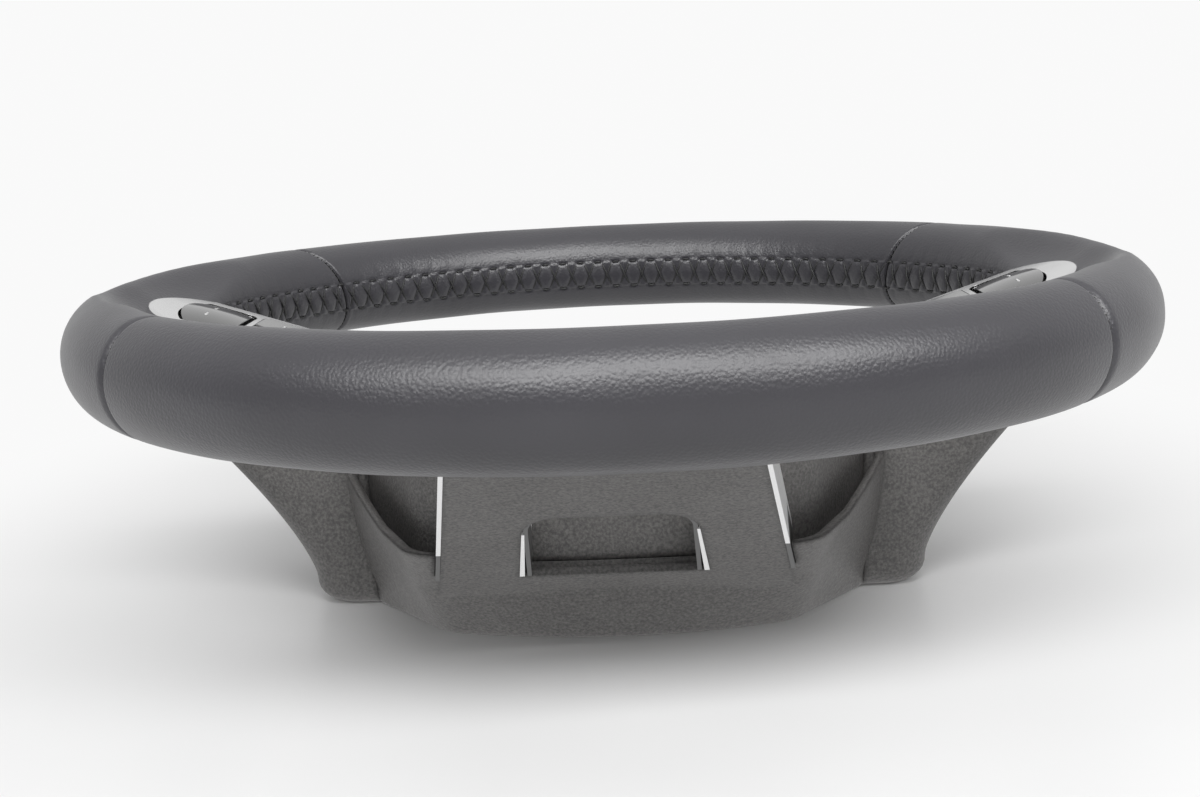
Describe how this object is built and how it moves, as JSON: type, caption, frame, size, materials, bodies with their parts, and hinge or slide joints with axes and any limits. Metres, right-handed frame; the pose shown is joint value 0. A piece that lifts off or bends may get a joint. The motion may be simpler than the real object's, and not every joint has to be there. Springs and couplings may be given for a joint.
{
  "type": "car steering wheel",
  "caption": "Car steering wheel with a laced leather rim, bright side bezels with thumb keys, an open lower spoke, a horn pad and a deep rear cover round the column hub.",
  "frame": {"origin": "on the wheel's axis, on the plane of the rear cover's lower edge", "axes": "+Z along the column axis towards the driver, -Y to 6 o'clock, +X to 3 o'clock"},
  "size_m": [0.38, 0.38, 0.116],
  "materials": {
    "leather": "fine grain, semi-matt black",
    "foam": "matt moulded foam",
    "casting": "as cast",
    "steel": "zinc plated",
    "grained_plastic": "fine moulded grain",
    "silver_trim": "satin silver",
    "bright_metal": "satin chrome",
    "gloss_keys": "polished dark grey",
    "inner_plastic": "moulded",
    "board": "solder mask",
    "cloth": "woven"
  },
  "bodies": {
    "wheel": {"armature": "casting", "hub_sleeve": "steel", "rim_foam": "foam", "leather_bottom": "leather", "leather_right": "leather", "leather_top": "leather", "leather_left": "leather", "rear_cover": "grained_plastic", "lower_spoke_trim": "silver_trim", "horn_springs": "steel", "horn_guide_pins": "steel", "rear_cover_screws": "steel", "left_bezel": "bright_metal", "right_bezel": "bright_metal", "left_switch_housing": "inner_plastic", "right_switch_housing": "inner_plastic", "left_circuit_board": "board", "right_circuit_board": "board"},
    "horn_pad": {"airbag_cover": "grained_plastic", "airbag_carrier": "steel", "airbag_cushion": "cloth", "inflator": "steel", "inflator_nuts": "steel"},
    "left_rocker": {"left_thumb_rocker": "gloss_keys"},
    "left_upper_key": {"left_upper_button": "gloss_keys"},
    "left_lower_key": {"left_lower_button": "gloss_keys"},
    "right_rocker": {"right_thumb_rocker": "gloss_keys"},
    "right_upper_key": {"right_upper_button": "gloss_keys"},
    "right_lower_key": {"right_lower_button": "gloss_keys"}
  },
  "joints": [
    {"name": "horn_press", "type": "slide", "parent": "wheel", "child": "horn_pad", "axis": [0, 0, -1], "range_m": [0, 0.0025], "stiffness_N_per_m": 6000, "springref_m": -0.004, "deforming": ["horn_springs"]},
    {"name": "left_rocker_tilt", "type": "hinge", "parent": "wheel", "child": "left_rocker", "pos_m": [-0.16888, 0, 0.10335], "axis": [-0.9496, 0, 0.3134], "range_deg": [-3.5, 3.5], "stiffness_Nm_per_rad": 0.8},
    {"name": "left_upper_press", "type": "slide", "parent": "wheel", "child": "left_upper_key", "axis": [-0.3134, 0, -0.9496], "range_m": [0, 0.0012], "stiffness_N_per_m": 1500, "springref_m": -0.0006},
    {"name": "left_lower_press", "type": "slide", "parent": "wheel", "child": "left_lower_key", "axis": [-0.3134, 0, -0.9496], "range_m": [0, 0.0012], "stiffness_N_per_m": 1500, "springref_m": -0.0006},
    {"name": "right_rocker_tilt", "type": "hinge", "parent": "wheel", "child": "right_rocker", "pos_m": [0.16888, 0, 0.10335], "axis": [0.9496, 0, 0.3134], "range_deg": [-3.5, 3.5], "stiffness_Nm_per_rad": 0.8},
    {"name": "right_upper_press", "type": "slide", "parent": "wheel", "child": "right_upper_key", "axis": [0.3134, 0, -0.9496], "range_m": [0, 0.0012], "stiffness_N_per_m": 1500, "springref_m": -0.0006},
    {"name": "right_lower_press", "type": "slide", "parent": "wheel", "child": "right_lower_key", "axis": [0.3134, 0, -0.9496], "range_m": [0, 0.0012], "stiffness_N_per_m": 1500, "springref_m": -0.0006}
  ]
}
